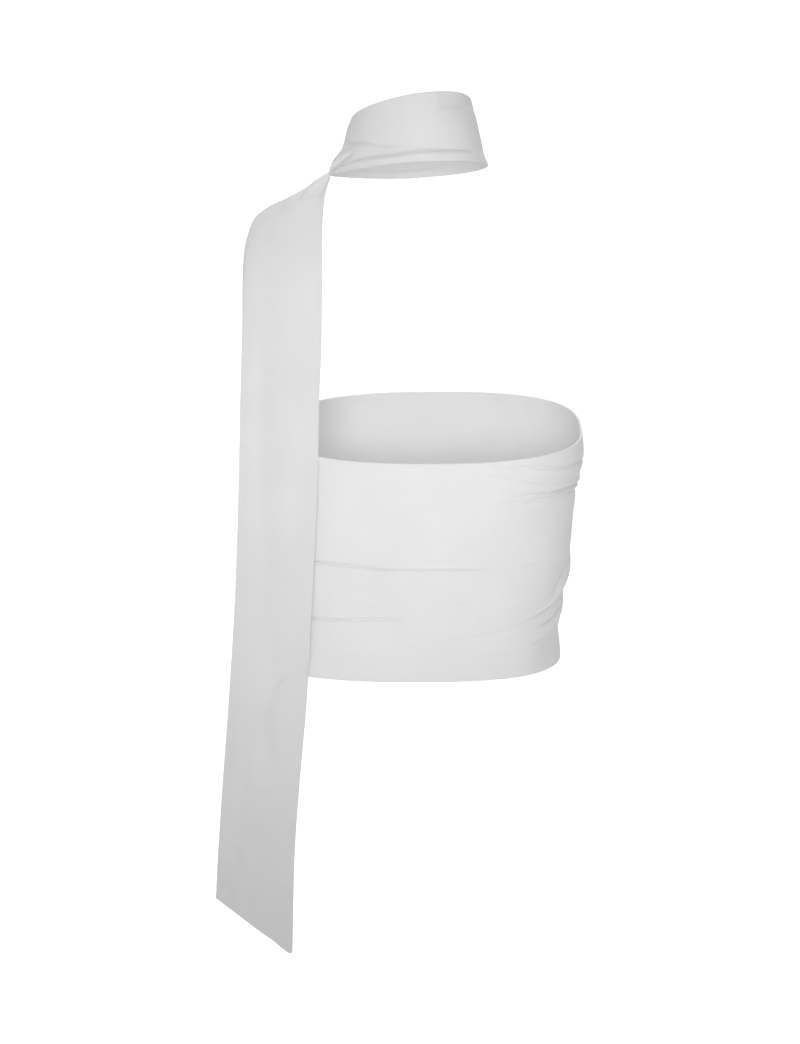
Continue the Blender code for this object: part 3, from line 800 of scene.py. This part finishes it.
floor_mesh = bpy.data.meshes.new("floor")
corners = [(x * FLOOR_REACH, y * FLOOR_REACH, FLOOR_HEIGHT) for x, y in ((-1, -1), (1, -1), (1, 1), (-1, 1))]
floor_mesh.from_pydata(corners, [], [(0, 1, 2, 3)])
floor = bpy.data.objects.new("floor", floor_mesh)
bpy.context.scene.collection.objects.link(floor)
# The soft light on the cloth from below is the room's, and none of it comes from the floor.
floor.visible_diffuse = False
paper = bpy.data.materials.new("matt_white_paper")
paper.use_nodes = True
paper_surface = paper.node_tree.nodes["Principled BSDF"]
paper_surface.inputs["Base Color"].default_value = (0.95, 0.95, 0.95, 1.0)
paper_surface.inputs["Roughness"].default_value = 0.9
# The paper gives off light itself, which keeps it white in the picture.
paper_surface.inputs["Emission Color"].default_value = (1.0, 1.0, 1.0, 1.0)
paper_surface.inputs["Emission Strength"].default_value = 0.7
floor_mesh.materials.append(paper)

# %% The room's own light
SKY_BELOW = 0.45
SKY_ABOVE = 0.46
BACKDROP = 1.4
POOL_POWER = 3.0

world = bpy.data.worlds.new("soft_room")
world.use_nodes = True
bpy.context.scene.world = world
sky = world.node_tree
direction = add(sky, "ShaderNodeTexCoord").outputs["Generated"]
split = add(sky, "ShaderNodeSeparateXYZ", _0=direction)
heights = {"From Min": -1.0, "From Max": 1.0, "To Min": SKY_BELOW, "To Max": SKY_ABOVE}
room = add(sky, "ShaderNodeMapRange", heights, Value=split.outputs["Z"])
# The wall behind: a pool of light, which is how far a direction leans to +Y, raised to POOL_POWER.
behind = add(sky, "ShaderNodeMath", {"operation": "MAXIMUM", 1: 0.0}, _0=split.outputs["Y"])
pool = add(sky, "ShaderNodeMath", {"operation": "POWER", 1: POOL_POWER}, _0=behind.outputs[0])
wall = add(sky, "ShaderNodeMath", {"operation": "MULTIPLY_ADD", 1: BACKDROP},
           _0=pool.outputs[0], _2=room.outputs[0])
sky.links.new(wall.outputs[0], sky.nodes["Background"].inputs["Strength"])
sky.nodes["Background"].inputs["Color"].default_value = (1.0, 1.0, 1.0, 1.0)
print("room:", SKY_BELOW, "below,", SKY_ABOVE, "above and", BACKDROP, "more behind")

# %% The lamps
Lamp = namedtuple("Lamp", "name place aim size spread power")
LAMPS = (
    Lamp("high_lamp", (-0.10, -2.60, 0.35), (-0.02, 0.0, -0.13), 0.9, 30.0, 1.20),
    Lamp("low_lamp", (-0.08, -2.30, -0.90), (-0.03, 0.0, -0.06), 0.7, 30.0, 0.33),
    Lamp("top_lamp", (0.0, 1.10, 2.20), (0.02, 0.0, -0.25), 0.6, 24.0, 0.42),
)

for lamp in LAMPS:
    lamp_data = bpy.data.lights.new(lamp.name, "AREA")
    lamp_data.shape = "SQUARE"
    lamp_data.size = lamp.size
    lamp_data.spread = math.radians(lamp.spread)
    lamp_data.energy = lamp.power
    lamp_object = bpy.data.objects.new(lamp.name, lamp_data)
    lamp_object.location = lamp.place
    aim = np.array(lamp.aim) - np.array(lamp.place)
    pitch = math.acos(-aim[2] / np.linalg.norm(aim))
    lamp_object.rotation_euler = (pitch, 0.0, math.atan2(aim[1], aim[0]) - math.pi / 2)
    lamp_object.visible_camera = False
    bpy.context.scene.collection.objects.link(lamp_object)
print("lamps:", [lamp.name for lamp in LAMPS])

# The picture's whites are plain display values, so no film curve bends them.
bpy.context.scene.view_settings.view_transform = "Standard"
